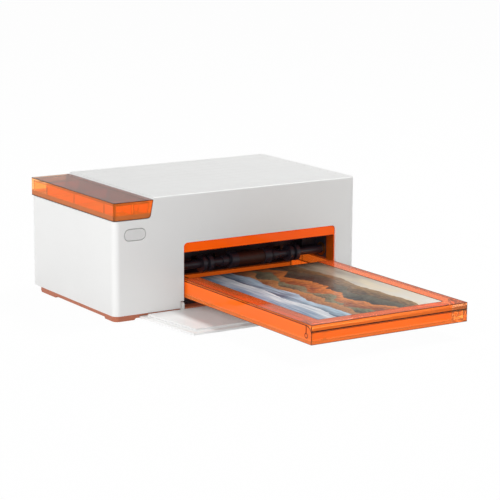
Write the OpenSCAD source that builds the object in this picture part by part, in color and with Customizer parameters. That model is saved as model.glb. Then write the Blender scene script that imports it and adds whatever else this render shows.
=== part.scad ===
// Compact photo printer: a white housing with a clear corner cover, a clear paper cassette with a
// hinged lid in the front opening, a drop-down front cover and a ribbon door in the right side.
// Millimetres. X runs right, Y runs back, Z runs up. Inside the modules the front face is Y = 0,
// the lower rim of the housing is Z = 0 and X = 0 is the middle of the housing.

/* [Housing] */
// Width of the white housing
body_w = 200; // [196:1:260]
// Depth of the white housing
body_d = 125; // [125:1:170]
// Height of the white housing
body_h = 80.5; // [80.5:0.5:110]
// Wall thickness of the housing
wall = 2.4; // [1.8:0.1:3]
// Radius of the four upright corners
corner_r = 4.5; // [3.5:0.1:8]
// Radius along the top edges
edge_r = 0.9; // [0.4:0.1:1.6]
// Distance from one shallow groove of the top to the next
groove_pitch = 10.25; // [8:0.05:16]
// Depth of the shallow grooves of the top
groove_depth = 0.25; // [0.1:0.05:0.6]
// Radius of the tool that leaves the grooves
groove_r = 6; // [4:0.5:12]

/* [Corner cover] */
// Width of the corner nook, at the level of the top
nook_w = 31.5; // [26:0.5:34]
// Depth of the nook below the top
nook_drop = 14.5; // [12:0.5:15]
// How far the inner wall of the nook leans outwards over its height
nook_lean = 2.8; // [0:0.1:5]
// Radius at the foot of the leaning wall
nook_r = 3; // [1:0.1:4]
// How far the clear cover stays below the top
cover_low = 1.5; // [0.5:0.1:3]
// Wall thickness of the clear cover
cover_wall = 2; // [1.4:0.1:2.6]
// Thickness of the clear floor below the cover
cover_floor = 2.3; // [1.5:0.1:3]

/* [Front opening] */
// Solid wall between the opening and the right side
open_margin = 17; // [14:0.5:20]
// Height of the opening above the lower rim
open_h = 46.2; // [44:0.1:52]
// Radius of the two upper corners of the opening
open_r = 3; // [1:0.1:5]
// Thickness of the clear lining at the sides
lining_t = 1.15; // [0.8:0.05:1.5]
// Height of the clear bar over the opening
lining_bar = 7.3; // [3:0.1:8]
// Depth of the lining
lining_d = 9; // [6:0.5:9]
// How far the lining stays behind the front face
lining_back = 1.4; // [1.4:0.1:2]

/* [Base] */
// Thickness of the base plate
base_t = 2.7; // [2.2:0.1:3.2]
// How far the base plate stays inside the housing
base_inset = 0.7; // [0.4:0.1:2]
// Height of the feet below the base plate
foot_h = 1.2; // [0.8:0.1:2.4]
// How far the thin rear band of the base plate reaches from the back
base_rear = 12; // [10:0.5:20]
// How far the rear band stays inside the sides of the housing
base_rear_inset = 3.8; // [3:0.1:4.4]
// Thickness of the base plate over the open front cover
base_thin = 1.4; // [1.2:0.1:1.8]

/* [Cassette] */
// Width of a photo sheet
paper_w = 100; // [90:1:108]
// Length of a photo sheet
paper_l = 148; // [130:1:148]
// Width of the rim beside the sheet
rim_w = 12.5; // [9:0.5:14]
// Height of the cassette with its lid
cas_h = 13.1; // [12.6:0.1:13.8]
// Height of the underside of the cassette above the lower rim
cas_z = 6.9; // [6.6:0.1:7.4]
// How far the cassette stands out of the housing
cas_out = 156; // [154:1:170]
// How far the cassette reaches into the housing
cas_in = 40; // [34:1:40]
// Wall thickness of the cassette
cas_wall = 2; // [1.6:0.1:2.2]
// Thickness of the cassette floor
cas_floor = 1.6; // [1.2:0.1:2]
// Thickness of the cassette lid
lid_t = 1.2; // [1:0.1:1.6]
// Radius of the hinge pins of the lid
lid_pin_r = 1.5; // [1.2:0.1:1.8]

/* [Front cover] */
// Reach of the open front cover before the front face
flap_reach = 61; // [50:1:64]
// Thickness of the plate of the front cover
flap_t = 1.4; // [1.2:0.1:1.5]
// Thickness of the raised panel inside the front cover
flap_pad_t = 1.2; // [0.6:0.1:1.3]
// Diameter of the hinge pins of the front cover
flap_pin_d = 2; // [1.6:0.1:2.4]

/* [Power button] */
// Width of the button
button_w = 16.4; // [12:0.1:17]
// Height of the button
button_h = 7.8; // [6:0.1:9]
// Travel of the button
button_travel = 0.8; // [0.4:0.1:1]

/* [Ribbon door] */
// Length of the door in the right side
door_l = 78; // [77:1:80]
// Height of the door
door_h = 33; // [32:0.5:34]
// Diameter of the hinge pins of the door
door_pin_d = 2; // [1.6:0.1:2.4]

/* [Mechanism] */
// Radius of the rubber drum of the pickup roller
pickup_r = 5; // [4:0.1:5.4]
// Radius of the feed roller
capstan_r = 4; // [3.2:0.1:4.6]
// Radius of the platen roller
platen_r = 6; // [5:0.1:6.4]
// Diameter of the roller shafts
shaft_d = 6; // [5:0.1:6.4]
// Module of the gear teeth
gear_m = 0.8; // [0.7:0.01:0.84]
// Width of the gears
gear_w = 5; // [4:0.5:6]
// Teeth of the motor pinion
pinion_teeth = 12; // [10:1:14]
// Teeth of the roller gears and of the small idler
roller_teeth = 24; // [22:1:25]
// Teeth of the large idler
idler_teeth = 40; // [38:1:42]
// Teeth of the take-up gear
takeup_teeth = 30; // [28:1:32]

/* [Fits] */
// Gap between parts that slide past each other
slide_gap = 0.35; // [0.3:0.05:0.5]
// Radial gap of a pin or shaft that turns in its bore
turn_gap = 0.05; // [0.03:0.01:0.08]

/* [Hidden] */
$fn = 64;

part_gap = 0.3;
body_top = body_h - wall;

// Cassette and opening, from the sheet outwards
cas_w = paper_w + 2 * rim_w;
open_w = cas_w + 2 * (slide_gap + lining_t);
mid_x = body_w / 2 - open_margin - open_w / 2;
open_x = [mid_x - open_w / 2, mid_x + open_w / 2];
cas_x = [mid_x - cas_w / 2, mid_x + cas_w / 2];
cas_top = cas_z + cas_h;
sheet_x = [mid_x - paper_w / 2, mid_x + paper_w / 2];

// Lid of the cassette: it turns about pins near the front end
lid_pivot = [6 - cas_out, cas_z + 5.1];
lid_end = 3.2;
lid_under = cas_top - lid_t;
lid_nose = lid_under - lid_pivot[1];
lid_clear = 0.2;
tray_rim = lid_under - lid_clear;
print_t = 0.3;
print_depth = 0.5;
print_y = [lid_end - 0.2 - paper_l, lid_end - 0.2];

// Lift plate in the inner end of the cassette
lift_hinge = [-20, cas_z + cas_floor + 1.4];
lift_t = 1.2;

// Clear corner cover
nook_floor = body_h - nook_drop;
nook_angle = atan(nook_lean / nook_drop);
nook_foot_x = -body_w / 2 + nook_w - nook_lean;
nook_mid = [nook_foot_x - nook_r * (1 - sin(nook_angle)) / cos(nook_angle), nook_floor + nook_r];
cover_top = body_h - cover_low;
cover_gap = 0.3;
cover_r = 1.2;

// Front cover: plate, raised panel and two hinge arms
flap_pivot = [2.3, 2];
flap_top = -base_thin - part_gap;
flap_under = flap_top - flap_t;
flap_slant = 6.5;
flap_left = open_x[0] - 34.8;
flap_right = open_x[1] + 5.5;
flap_arm_t = 2.5;
flap_eye_r = 2.2;
jamb_notch = 2.6;
flap_boss_l = 5;

// Side frames that carry the shafts
frame_t = 2.8;
frame_left = [open_x[0] - frame_t + 0.6, open_x[0] + 0.6];
frame_right = [open_x[1] - 0.6, open_x[1] + frame_t - 0.6];
frame_y = [11.5, 116];
frame_z = [2.2, 71.2];
frame_floor_t = 2;

// Places of the shafts in the side frames, as [y, z]
pickup_at = [17, 26];
feed_at = [52, 31.5];
pinch_r = 3;
pinch_at = [feed_at[0], feed_at[1] - capstan_r - pinch_r - part_gap];
platen_at = [78, 33];
supply_at = [54, 53];
takeup_at = [100, 52];
head_pivot = [97, 68];
pinch_shaft_r = 2;
spool_r = 4;
tube_r = 13;
tube_t = 1.2;
slit_inset = 1;
supply_roll_r = 9.5;
takeup_roll_r = 6.5;
film_z = platen_at[1] + platen_r + part_gap;
film_t = 0.1;
spool_left = frame_left[1] + 0.3;
cart_x = [mid_x - paper_w / 2 - 8, mid_x + paper_w / 2 + 7];
end_t = 2;
head_y = [platen_at[0] - 4.5, platen_at[0] + 6];
head_z = film_z + film_t + part_gap;
carriage_z = 65.7;

// Gear train outside the left side frame
gear_x = [frame_left[0] - 3 - gear_w, frame_left[0] - 3];
gear_plate_x = [gear_x[0] - 2.9, gear_x[0] - 1.5];
post_places = [[frame_y[0] + 8, 9], [frame_y[0] + 2.5, 40.2], [62, 10], [frame_y[1] - 6, 30],
               [frame_y[1] - 30, 67]];
axle_r = 2;
pinion_r = gear_m * pinion_teeth / 2;
roller_gear_r = gear_m * roller_teeth / 2;
idler_r = gear_m * idler_teeth / 2;
takeup_gear_r = gear_m * takeup_teeth / 2;
large_idler_at = meeting(feed_at, takeup_at, roller_gear_r + idler_r, idler_r + takeup_gear_r, 1);
small_idler_at = meeting(pickup_at, feed_at, 2 * roller_gear_r, 2 * roller_gear_r, -1);
motor_at = large_idler_at - [0, idler_r + pinion_r];
pinion_phase = 0;
large_idler_phase = mesh_phase(pinion_phase, pinion_teeth, idler_teeth, motor_at, large_idler_at);
feed_phase = mesh_phase(large_idler_phase, idler_teeth, roller_teeth, large_idler_at, feed_at);
small_idler_phase = mesh_phase(feed_phase, roller_teeth, roller_teeth, feed_at, small_idler_at);
pickup_phase = mesh_phase(small_idler_phase, roller_teeth, roller_teeth, small_idler_at, pickup_at);
takeup_phase = mesh_phase(large_idler_phase, idler_teeth, takeup_teeth, large_idler_at, takeup_at);
shaft_r = shaft_d / 2;
shaft_left = gear_x[0] - 0.6;
bush_r = shaft_r + turn_gap + 1.3;
bush_flange = 0.8;
motor_r = 12.5;
motor_l = 20;
shaft_x = [shaft_left, frame_right[1] + 1];
drum_half = 11.3;
collar_l = 5.6;

// Ribbon door in the right side
door_y = [39, 39 + door_l];
door_z = [36, 36 + door_h];
door_t = wall - 0.2;
door_gap = 0.4;
door_barrel_r = 2.6;
door_pivot = [body_w / 2 - door_barrel_r, door_z[0] + door_gap + door_barrel_r];
door_eye_l = 4;

// Boards, deck and screws
deck_t = 1.2;
deck_z = frame_z[1];
board_t = 1.6;
board_lift = 2;
board_z = deck_z + deck_t + board_lift;
board_x = [frame_left[1] + 3, frame_right[0] - 5];
board_y = [frame_y[0] + 32, frame_y[0] + 78];
chip_h = 1.2;
rib_z = max(body_top - 1, board_z + board_t + chip_h - 0.1);
screw_x = body_w / 2 - wall - 6.1;
screw_y = [20, body_d - wall - 4.1];
screw_r = 1.3;
screw_head = [2.6, 1.2];
boss_r = 3.5;
power_z = 6;
jack_x = -body_w / 2 + 20;
data_x = -body_w / 2 + 34.5;

// Power button
button_at = [-body_w / 2 + 16.4, 56];
button_gap = 0.4;
button_y = 4.7;

// The whole model stands on its feet with the middle of its footprint at the origin
stand_y = (cas_out - body_d) / 2;
stand_z = base_t + foot_h;

function polar(r, a) = [r * cos(a), r * sin(a)];

// A range, or a pair of places, measured from a value
function around(value, range) = [value + range[0], value + range[1]];

function mid_of(range) = (range[0] + range[1]) / 2;

// Points along an arc about a middle point
function arc(mid, r, from, to, steps = 12) =
    [for (i = [0:steps]) mid + polar(r, from + (to - from) * i / steps)];

// The point at distance a from p and b from q, on one side of the line from p to q
function meeting(p, q, a, b, side) =
    let (d = norm(q - p),
         along = (a * a - b * b + d * d) / (2 * d),
         aside = sqrt(a * a - along * along),
         u = (q - p) / d)
    p + along * u + side * aside * [-u[1], u[0]];

function bearing(p, q) = atan2(q[1] - p[1], q[0] - p[0]);

// The turn that lets the teeth of the second gear fall between those of the first
function mesh_phase(phase, teeth_a, teeth_b, at_a, at_b) =
    let (dir = bearing(at_a, at_b))
    dir + 180 - (360 / teeth_b) * ((phase - dir) * teeth_a / 360 - 0.5);

// Outline of a gear, with the teeth slimmer than their gaps so that they run free
function gear_outline(teeth, phase) =
    let (pitch = 360 / teeth, r = gear_m * teeth / 2, tip = r + 0.9 * gear_m, root = r - 1.2 * gear_m)
    [for (i = [0:teeth - 1]) let (a = phase + i * pitch)
        each [polar(root, a - 0.29 * pitch), polar(tip, a - 0.11 * pitch),
              polar(tip, a + 0.11 * pitch), polar(root, a + 0.29 * pitch)]];

// Outline of the corner nook in X and Z, grown by a margin
function nook_outline(grow) =
    let (high = body_h + 1,
         lean_x = nook_foot_x + (high - nook_floor) * tan(nook_angle) + grow / cos(nook_angle))
    concat([[-body_w / 2 - 1, high], [-body_w / 2 - 1, nook_floor - grow]],
           arc(nook_mid, nook_r + grow, -90, -nook_angle, 8),
           [[lean_x, high]]);

module span(x, y, z)
    translate([x[0], y[0], z[0]]) cube([x[1] - x[0], y[1] - y[0], z[1] - z[0]]);

// A round bar along X at [y, z], or along Y at [x, z]
module rod_x(x, at, r)
    translate([x[0], at[0], at[1]]) rotate([0, 90, 0]) cylinder(r = r, h = x[1] - x[0]);

module rod_y(y, at, r)
    translate([at[0], y[1], at[1]]) rotate([90, 0, 0]) cylinder(r = r, h = y[1] - y[0]);

// A profile in Y and Z drawn out along X, and one in X and Z drawn out along Y
module along_x(x)
    translate([x[0], 0, 0]) rotate([90, 0, 90]) linear_extrude(x[1] - x[0]) children();

module along_y(y)
    translate([0, y[1], 0]) rotate([90, 0, 0]) linear_extrude(y[1] - y[0]) children();

module rounded_rect(w, d, r) {
    square([w - 2 * r, d], center = true);
    square([w, d - 2 * r], center = true);
    for (sx = [-1, 1], sy = [-1, 1])
        translate([sx * (w / 2 - r), sy * (d / 2 - r)]) circle(r);
}

module stadium(w, h) {
    square([w - h, h], center = true);
    for (s = [-1, 1])
        translate([s * (w - h) / 2, 0]) circle(h / 2);
}

// The plan of the housing, pulled in by an inset
module body_plan(inset, r)
    translate([0, body_d / 2]) rounded_rect(body_w - 2 * inset, body_d - 2 * inset, r);

// Half of a profile with a rounded upper corner, and the whole of it
module round_top_half(w, h, r) {
    square([w - r, h]);
    square([w, h - r]);
    translate([w - r, h - r]) circle(r);
}

module round_top(w, h, r) {
    round_top_half(w / 2, h, r);
    mirror([1, 0]) round_top_half(w / 2, h, r);
}

// A block with round upright corners and a round along its top edges
module filleted_block() {
    far = body_w / 2 - corner_r;
    along_y([corner_r, body_d - corner_r]) round_top(body_w, body_h, edge_r);
    along_x([-far, far]) translate([body_d / 2, 0]) round_top(body_d, body_h, edge_r);
    for (x = [-far, far], y = [corner_r, body_d - corner_r])
        translate([x, y, 0]) rotate_extrude() round_top_half(corner_r, body_h, edge_r);
}

module opening_outline(inset) {
    w = open_w - 2 * inset;
    h = open_h - inset;
    r = open_r - inset;
    translate([mid_x, 0]) {
        translate([-w / 2, -1]) square([w, h - r + 1]);
        translate([-w / 2 + r, -1]) square([w - 2 * r, h + 1]);
        for (s = [-1, 1])
            translate([s * (w / 2 - r), h - r]) circle(r);
    }
}

// The four screw columns under the top, and the bores for the screws
module screw_places()
    for (sx = [-1, 1], y = screw_y)
        translate([sx * screw_x, y, 0]) children();

module flap_bosses()
    for (x = [open_x[0] - jamb_notch - flap_boss_l, open_x[1] + jamb_notch])
        span([x, x + flap_boss_l], [wall - 0.5, flap_pivot[0] + 4], [0, flap_pivot[1] + 3.2]);

module door_bosses()
    for (y = [door_y[0] - 5, door_y[1]])
        span([door_pivot[0] - 3.5, body_w / 2 - wall + 0.5], [y, y + 5],
             around(door_pivot[1], [-3.5, 3.5]));

module shell_ribs() {
    for (y = [30, 60, 90])
        span([open_x[0] - 10, body_w / 2 - wall - 1], [y - 0.7, y + 0.7], [rib_z, body_top + 0.5]);
    for (x = around(mid_x, [-8, 8]))
        span([x - 0.7, x + 0.7], [wall - 0.5, body_d - wall - 1], [rib_z, body_top + 0.5]);
}

module rear_vents()
    for (i = [0:7])
        translate([body_w / 2 - 76 + i * 7, body_d - wall - 1, 52]) cube([2.2, wall + 2, 14]);

module upper_shell() color("white") {
    difference() {
        union() {
            difference() {
                filleted_block();
                translate([0, 0, -1])
                    linear_extrude(body_top + 1) body_plan(wall, corner_r - wall + 0.4);
            }
            intersection() {
                filleted_block();
                along_y([0, body_d]) polygon(nook_outline(wall));
            }
            screw_places() cylinder(r = boss_r, h = body_top + 0.5);
            for (sx = [-1, 1], y = screw_y)
                span(around(sx * screw_x, [min(0, sx * 7), max(0, sx * 7)]), around(y, [-0.8, 0.8]),
                     [1, body_top + 0.5]);
            flap_bosses();
            door_bosses();
            shell_ribs();
            for (x = around(button_at[0], [-11.6, 11.6]))
                rod_y([wall - 0.5, 6.5], [x, button_at[1]], 1.2);
        }
        along_y([-1, body_d + 1]) polygon(nook_outline(0));
        along_y([-1, wall + 0.01]) opening_outline(0);
        for (x = [open_x[0] - jamb_notch, open_x[1] - 1])
            span([x, x + jamb_notch + 1], [-1, wall + 4], [-1, flap_pivot[1] + flap_eye_r + 0.8]);
        for (x = [open_x[0] - jamb_notch - flap_boss_l - 1, open_x[1] + jamb_notch - 1])
            rod_x([x, x + flap_boss_l + 2], flap_pivot, flap_pin_d / 2);
        along_y([-1, wall + 1]) translate(button_at)
            stadium(button_w + 2 * button_gap, button_h + 2 * button_gap);
        screw_places() translate([0, 0, -1]) cylinder(r = screw_r, h = 12);
        span([body_w / 2 - wall - 2, body_w / 2 + 1], door_y, door_z);
        rod_y([door_y[0] - 6, door_y[1] + 6], door_pivot, door_pin_d / 2);
        span(sheet_x + [-2, 2], [body_d - wall - 1, body_d + 1], around(film_z, [-3.3, 2.7]));
        rear_vents();
        power_sockets_outline();
        for (i = [0:floor((body_d - 12) / groove_pitch)])
            rod_x([-body_w / 2 + nook_w + 3, body_w / 2 - 4],
                  [9.7 + i * groove_pitch, body_h + groove_r - groove_depth], groove_r);
    }
}

// Holes in the back wall for the supply lead and the data lead
module power_sockets_outline() {
    top = power_z + board_t;
    rod_y([body_d - wall - 1, body_d + 1], [jack_x, top + 5.5], 4.2);
    span(around(data_x, [-5, 5]), [body_d - wall - 1, body_d + 1], around(top, [-0.2, 3.8]));
}

module base_plate() color("chocolate") {
    difference() {
        union() {
            translate([0, 0, -base_t]) linear_extrude(base_t) body_plan(base_inset, corner_r - 0.5);
            for (y = [45, 112])
                span([-body_w / 2 + 8, frame_left[0] - 14], [y, y + 2], [-0.5, power_z]);
        }
        for (x = [open_x[0] - jamb_notch - 0.4, open_x[1] - 1.5])
            span([x, x + jamb_notch + 1.9], [-1, flap_pivot[0] + 6], [-base_t - 1, 1]);
        span([-body_w / 2, body_w / 2], [body_d - base_rear, body_d + 1],
             [-base_t - 1, -base_t + screw_head[1]]);
        for (x = [-body_w / 2, body_w / 2 - base_rear_inset])
            span([x, x + base_rear_inset], [body_d - base_rear, body_d + 1], [-base_t - 1, 1]);
        span([flap_left - 0.5, flap_right + 0.5], [-1, flap_pivot[0] + 2.4], [-base_t - 1, -base_thin]);
        screw_places() translate([0, 0, -base_t - 1]) cylinder(r = screw_r + 0.2, h = base_t + 2);
        for (sx = [-1, 1])
            translate([sx * screw_x, screw_y[0], -base_t - 1])
                cylinder(r = screw_head[0] + 0.3, h = screw_head[1] + 1);
        for (i = [0:9])
            span(around(mid_x, [-30 + i * 6, -27.6 + i * 6]), [70, 96], [-base_t - 1, 1]);
    }
}

// A foot pad, cut from the plan of the base, with both ends bevelled
module foot(x, y) {
    intersection() {
        translate([0, 0, -base_t - foot_h]) linear_extrude(foot_h) body_plan(base_inset, corner_r - 0.5);
        along_y(y) polygon([[x[0], -base_t], [x[1], -base_t],
                            [x[1] - foot_h, -base_t - foot_h], [x[0] + foot_h, -base_t - foot_h]]);
        along_x(x) polygon([[y[0], -base_t], [y[1], -base_t],
                            [y[1] - foot_h, -base_t - foot_h], [y[0] + foot_h, -base_t - foot_h]]);
    }
}

module feet() color("peru") {
    side = body_w / 2;
    rear = body_d - base_rear;
    foot([-side - 4, -side + 17], [-4, 16]);
    foot([side - 9, side + 4], [-4, 16]);
    foot([-side - 4, -side + 12], [rear - 24, rear]);
    foot([side - 12, side + 4], [rear - 24, rear]);
}

module base_screws() color("dimgray") {
    screw_places() {
        translate([0, 0, screw_head[1] - base_t]) cylinder(r = screw_r, h = base_t - screw_head[1] + 9);
        translate([0, 0, -base_t]) difference() {
            cylinder(r = screw_head[0], h = screw_head[1]);
            for (a = [0, 90])
                rotate([0, 0, a]) cube([screw_head[0], 0.6, 1], center = true);
        }
    }
}

module opening_lining() color("darkorange") {
    y0 = lining_back;
    y1 = y0 + lining_d;
    difference() {
        union() {
            along_y([y0, y1]) opening_outline(0);
            along_y([wall, wall + 1.5]) opening_outline(-2);
        }
        span([cas_x[0] - slide_gap, cas_x[1] + slide_gap], [y0 - 1, y1 + 1], [-3, open_h - lining_bar]);
        span([open_x[0] - 5, open_x[1] + 5], [y0 - 1, y1 + 1], [-3, flap_pivot[1] + 3.6]);
    }
}

// The clear block in the nook: walls, top, and the ribs inside
module cover_solid(inset) {
    intersection() {
        linear_extrude(cover_top - inset) body_plan(inset, max(cover_r - inset, 0.2));
        along_y([0, body_d]) polygon(nook_outline(-cover_gap - inset));
    }
}

module corner_cover() color("orangered") {
    rib = 1.2;
    low = nook_floor + cover_floor + 0.3;
    difference() {
        cover_solid(0);
        difference() {
            cover_solid(cover_wall);
            for (y = [15, 59, 101])
                span([-body_w / 2, nook_foot_x + nook_lean], [y, y + rib], [low, cover_top]);
            span(around(-body_w / 2, [15, 15 + rib]), [0, 15], [low, cover_top]);
        }
        span([-body_w / 2 + cover_wall, nook_foot_x - nook_r],
             [cover_wall, body_d - cover_wall], [nook_floor - 1, nook_floor + cover_floor + 0.6]);
        span([-body_w, body_w], [-1, body_d + 1], [-1, nook_floor]);
    }
}

module corner_cover_floor() color("sienna")
    span([-body_w / 2 + cover_wall + 0.15, nook_foot_x - nook_r - 0.15],
         [cover_wall + 0.15, body_d - cover_wall - 0.15], [nook_floor, nook_floor + cover_floor]);

// Black lower frame: the floor under the cassette, its two runners, and the seats of the side frames
module floor_frame() color("black") {
    difference() {
        union() {
            span([frame_left[0] - 3, frame_right[1] + 2], [flap_pivot[0] + 7, frame_y[1] + 1],
                 [0, frame_floor_t]);
            for (s = [-1, 1])
                span(around(mid_x + s * (cas_w / 2 - 6), [-2, 2]), [flap_pivot[0] + 8, cas_in + 1],
                     [frame_floor_t - 0.5, cas_z - slide_gap]);
            for (y = [64, 98])
                span([frame_left[1], frame_right[0]], [y, y + 1.6], [frame_floor_t - 0.5, 8]);
        }
        for (s = [-1, 1])
            span(around(mid_x + s * 17, [-13, 13]), [70, 96], [-1, frame_floor_t + 10]);
    }
}

// One side frame as a plate in Y and Z, before its bores
module side_plate_outline() {
    difference() {
        polygon([[frame_y[0], frame_z[0] - 0.2], [frame_y[1], frame_z[0] - 0.2], [frame_y[1], frame_z[1]],
                 [frame_y[0] + 26, frame_z[1]], [frame_y[0] + 14, 48], [frame_y[0], 44]]);
        for (y = [60, 86])
            translate([y, 14]) stadium(20, 10);
        translate([30, 11]) stadium(14, 7);
    }
}

module shaft_bores(x) {
    for (at = [pickup_at, feed_at, platen_at])
        rod_x(x, at, bush_r);
    rod_x(x, pinch_at, pinch_shaft_r + turn_gap);
    rod_x(x, head_pivot, axle_r);
}

module left_side_frame() color("dimgray") {
    x = frame_left + [-1, 1];
    difference() {
        along_x(frame_left) side_plate_outline();
        shaft_bores(x);
        rod_x(x, takeup_at, bush_r);
        rod_x(x, supply_at, axle_r);
        for (at = [large_idler_at, small_idler_at])
            rod_x(x, at, axle_r);
        for (at = post_places)
            rod_x(x, at, axle_r);
    }
}

// The right side frame has a window that the ribbon cartridge slides through
module right_side_frame() color("dimgray") {
    x = frame_right + [-1, 1];
    difference() {
        along_x(frame_right) side_plate_outline();
        shaft_bores(x);
        along_x(x) translate([door_y[0] + door_l / 2, door_z[0] + door_h / 2 + 0.5])
            rounded_rect(door_l - 3, door_h - 5, 4);
    }
}

module top_deck() color("silver") {
    difference() {
        span([frame_left[0], frame_right[1]], [frame_y[0] + 28, frame_y[1]], [deck_z, deck_z + deck_t]);
        for (i = [0:5])
            translate([mid_x - 45 + i * 18, 92, deck_z - 1]) linear_extrude(deck_t + 2) stadium(10, 5);
    }
}

// Black moulding over and behind the pickup roller, with the sensor boxes at its ends
module feed_guide() color("black") {
    x = [frame_left[1], frame_right[0]];
    y0 = lining_d + 2.4;
    difference() {
        union() {
            along_x(x) polygon([[y0, 38.5], [y0 + 2, 38.5], [y0 + 4, 41], [31, 41], [33.5, 38.5],
                                [33.5, 23], [36, 23], [36, 43.5], [y0, 43.5]]);
            for (i = [0:8])
                span([x[0] + 8 + i * 13.5, x[0] + 9.2 + i * 13.5], [y0 + 2, 34], [38.6, 41.4]);
            span([x[0], x[0] + 9], [24.5, 34], [24, 42]);
            span([x[1] - 12, x[1]], [24.5, 34], [24, 42]);
            span([x[0] + 12, x[0] + 20], [24.5, 34], [29, 42]);
        }
        for (i = [0:5])
            span(around(mid_x, [-38 + i * 14, -32 + i * 14]), [33, 37], [25, 28]);
    }
}

// Ramp that turns the sheet up from the cassette to the feed roller
module feed_ramp() color("black") {
    y0 = cas_in + 1.5;
    difference() {
        union() {
            along_x(sheet_x + [-6, 6]) polygon([[y0, 8], [y0, 14], [y0 + 2.4, 18], [y0 + 5, 20.4],
                                                [y0 + 7, 21.4], [y0 + 7, 19], [y0 + 2.4, 14], [y0 + 2.4, 8]]);
            for (i = [0:6])
                along_x(around(mid_x - 48 + i * 16, [-0.8, 0.8]))
                    polygon([[y0 + 1, 8], [y0 + 1, 14], [y0 + 4, 18.6], [y0 + 6.8, 20.6], [y0 + 6.8, 8]]);
            span(sheet_x + [-6, 6], [y0, y0 + 12], [frame_floor_t, 8.2]);
        }
        for (i = [0:5])
            span(around(mid_x - 40 + i * 16, [-5.5, 5.5]), [y0 + 3, y0 + 10], [frame_floor_t + 1.5, 7]);
    }
}

// Guide that carries the sheet past the platen and out to the slot in the back
module exit_guide() color("black") {
    half = paper_w / 2 + 4;
    rear = body_d - wall - 0.6;
    front = platen_at[0] - platen_r - 1.5;
    back = platen_at[0] + platen_r + 1.5;
    low = film_z - 4.1;
    difference() {
        union() {
            along_x(around(mid_x, [-half, half]))
                polygon([[feed_at[0] + 5, 27], [front, low + 1], [front, low - 1.2], [feed_at[0] + 5, 24.8]]);
            along_x(around(mid_x, [-half, half]))
                polygon([[back, low + 1], [back + 3, low + 1.2], [rear, low + 1.2], [rear, low - 1],
                         [back, low - 1.2]]);
            for (s = [-1, 1])
                along_x(around(mid_x + s * (half + 1), [-1, 1]))
                    polygon([[feed_at[0] + 5, 20], [feed_at[0] + 5, 27], [front, low + 1], [front, low - 8],
                             [back, low - 8], [back, low + 1], [frame_y[1] - 4, low + 1.2],
                             [frame_y[1] - 4, frame_floor_t], [frame_y[1] - 9, frame_floor_t],
                             [frame_y[1] - 12, 22]]);
            for (i = [0:6])
                along_x(around(mid_x - 45 + i * 15, [-0.6, 0.6]))
                    polygon([[back + 2, low - 6], [back, low], [rear - 1, low], [rear - 1, low - 4]]);
        }
        rod_x(around(mid_x, [-half - 3, half + 3]), platen_at, platen_r + 0.8);
    }
}

// Outer plate of the gear train and the posts that hold it

module gear_plate() color("lightgray") {
    x = gear_plate_x + [-1, 1];
    difference() {
        along_x(gear_plate_x)
            polygon([[frame_y[0] + 1, 3], [70, 3], [frame_y[1], 22], [frame_y[1], 60], [98, 71], [84, 71],
                     [frame_y[0] + 30, 46], [frame_y[0], 44]]);
        for (at = concat(post_places, [large_idler_at, small_idler_at]))
            rod_x(x, at, axle_r * 0.75);
        for (at = [pickup_at, feed_at, takeup_at])
            rod_x(x, at, shaft_r * 0.8);
        rod_x(x, motor_at, 4);
    }
}

module gear_plate_posts() color("silver") {
    for (at = post_places) {
        rod_x([gear_plate_x[1], frame_left[0]], at, 3);
        rod_x([frame_left[0], frame_left[1]], at, axle_r);
        rod_x(gear_plate_x, at, axle_r * 0.75);
    }
}

module idler_axles() color("silver") {
    for (at = [large_idler_at, small_idler_at]) {
        rod_x([gear_plate_x[1], frame_left[1]], at, axle_r);
        rod_x(gear_plate_x, at, axle_r * 0.75);
    }
}

module bush(x, at) {
    difference() {
        union() {
            rod_x(x, at, bush_r);
            rod_x([x[0] - bush_flange, x[0]], at, bush_r + 0.6);
        }
        rod_x(x + [-2, 2], at, shaft_r + turn_gap);
    }
}

module shaft_bushes() color("goldenrod") {
    for (at = [pickup_at, feed_at, platen_at])
        for (x = [frame_left, frame_right])
            bush(x, at);
    bush(frame_left, takeup_at);
}

module drive_motor() color("darkgray") {
    body = [gear_plate_x[0] - motor_l, gear_plate_x[0]];
    difference() {
        union() {
            rod_x(body, motor_at, motor_r);
            rod_x([body[0] - 1.5, body[0]], motor_at, 4);
            intersection() {
                span([body[1] - 1.2, body[1]], around(motor_at[0], [-18, 18]), around(motor_at[1], [-6, 6]));
                rod_x([body[1] - 1.2, body[1]], motor_at, 17.5);
            }
            span([body[0] + 3, body[1] - 5], around(motor_at[0], [-6, 6]), around(motor_at[1], [-motor_r - 2.4, -motor_r + 2]));
        }
        rod_x([body[0] - 2, body[1] + 1], motor_at, 2.2);
        for (s = [-1, 1])
            rod_x([body[1] - 3, body[1] + 1], motor_at + [s * 15, 0], 1.3);
    }
}

module gear(x, at, teeth, phase, bore) {
    translate([x[0], at[0], at[1]]) rotate([90, 0, 90]) difference() {
        linear_extrude(x[1] - x[0]) difference() {
            polygon(gear_outline(teeth, phase));
            circle(bore);
        }
        if (teeth > 20)
            for (z = [-0.01, x[1] - x[0] - 1.2])
                translate([0, 0, z]) linear_extrude(1.21) difference() {
                    circle(gear_m * teeth / 2 - 2.6);
                    circle(bore + 2);
                }
    }
}

module motor_pinion() color("gold") {
    gear(gear_x, motor_at, pinion_teeth, pinion_phase, 1.5);
    rod_x([gear_plate_x[0] - motor_l + 1, gear_x[1]], motor_at, 1.5);
}

module large_idler_gear() color("ivory")
    gear(gear_x, large_idler_at, idler_teeth, large_idler_phase, axle_r + turn_gap);

module small_idler_gear() color("ivory")
    gear(gear_x, small_idler_at, roller_teeth, small_idler_phase, axle_r + turn_gap);

module pickup_shaft() color("dimgray")
    rod_x(shaft_x, pickup_at, shaft_r);

// A ring on a shaft
module ring(x, at, r_out, r_in)
    difference() {
        rod_x(x, at, r_out);
        rod_x(x + [-1, 1], at, r_in);
    }

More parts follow.
